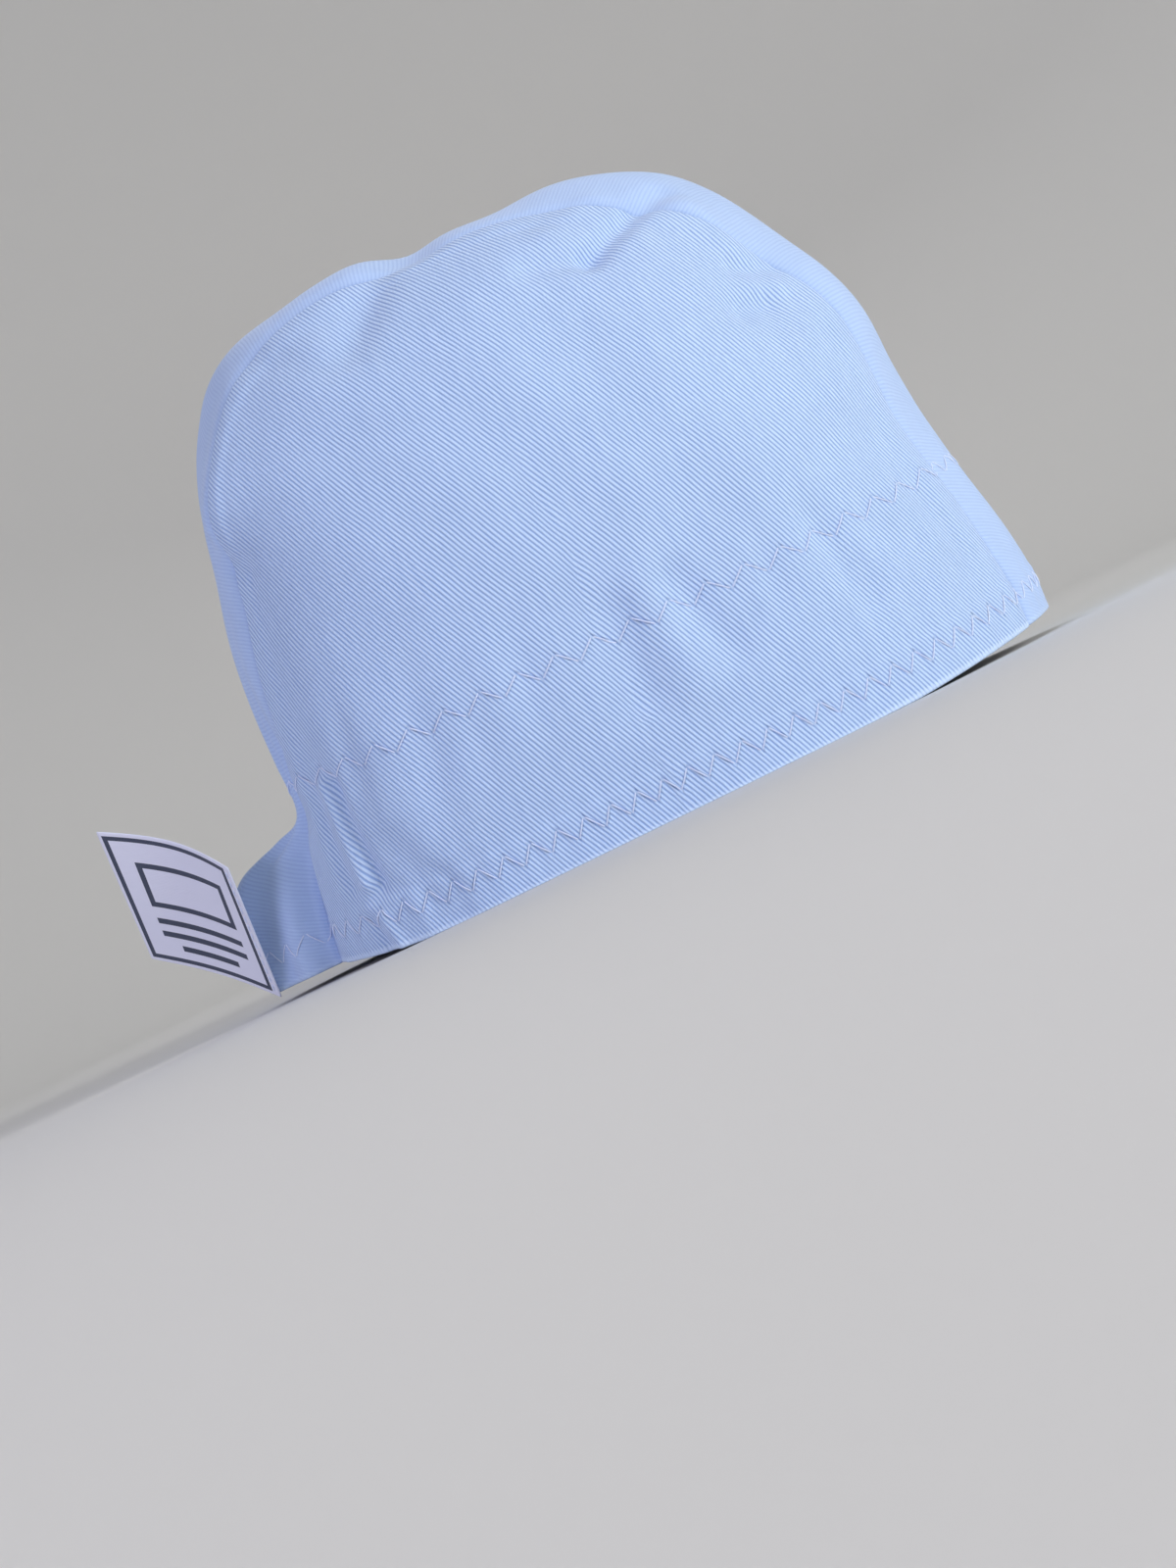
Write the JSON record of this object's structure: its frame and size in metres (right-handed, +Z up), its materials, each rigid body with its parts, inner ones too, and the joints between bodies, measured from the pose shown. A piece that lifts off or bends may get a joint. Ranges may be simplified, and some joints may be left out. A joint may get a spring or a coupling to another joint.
{
  "type": "welding cap",
  "caption": "Soft cotton cap without a bill: two side panels, a crown strip, an inner facing band, a gathered back with a flared tail and a small size label.",
  "frame": {"origin": "middle of the surface that the cap rests on, below the centre of its bounding box", "axes": "+X to the front of the cap, +Y to the wearer's left, +Z up through the crown"},
  "size_m": [0.2616, 0.1518, 0.1674],
  "materials": {
    "cotton_twill": "matte white cotton twill",
    "facing_twill": "matte white cotton twill, turned inside",
    "label_satin": "smooth white printed satin"
  },
  "bodies": {
    "root": {"side_panel_right": "cotton_twill", "side_panel_left": "cotton_twill", "crown_strip": "cotton_twill", "sweatband": "facing_twill", "size_label": "label_satin"}
  },
  "joints": []
}
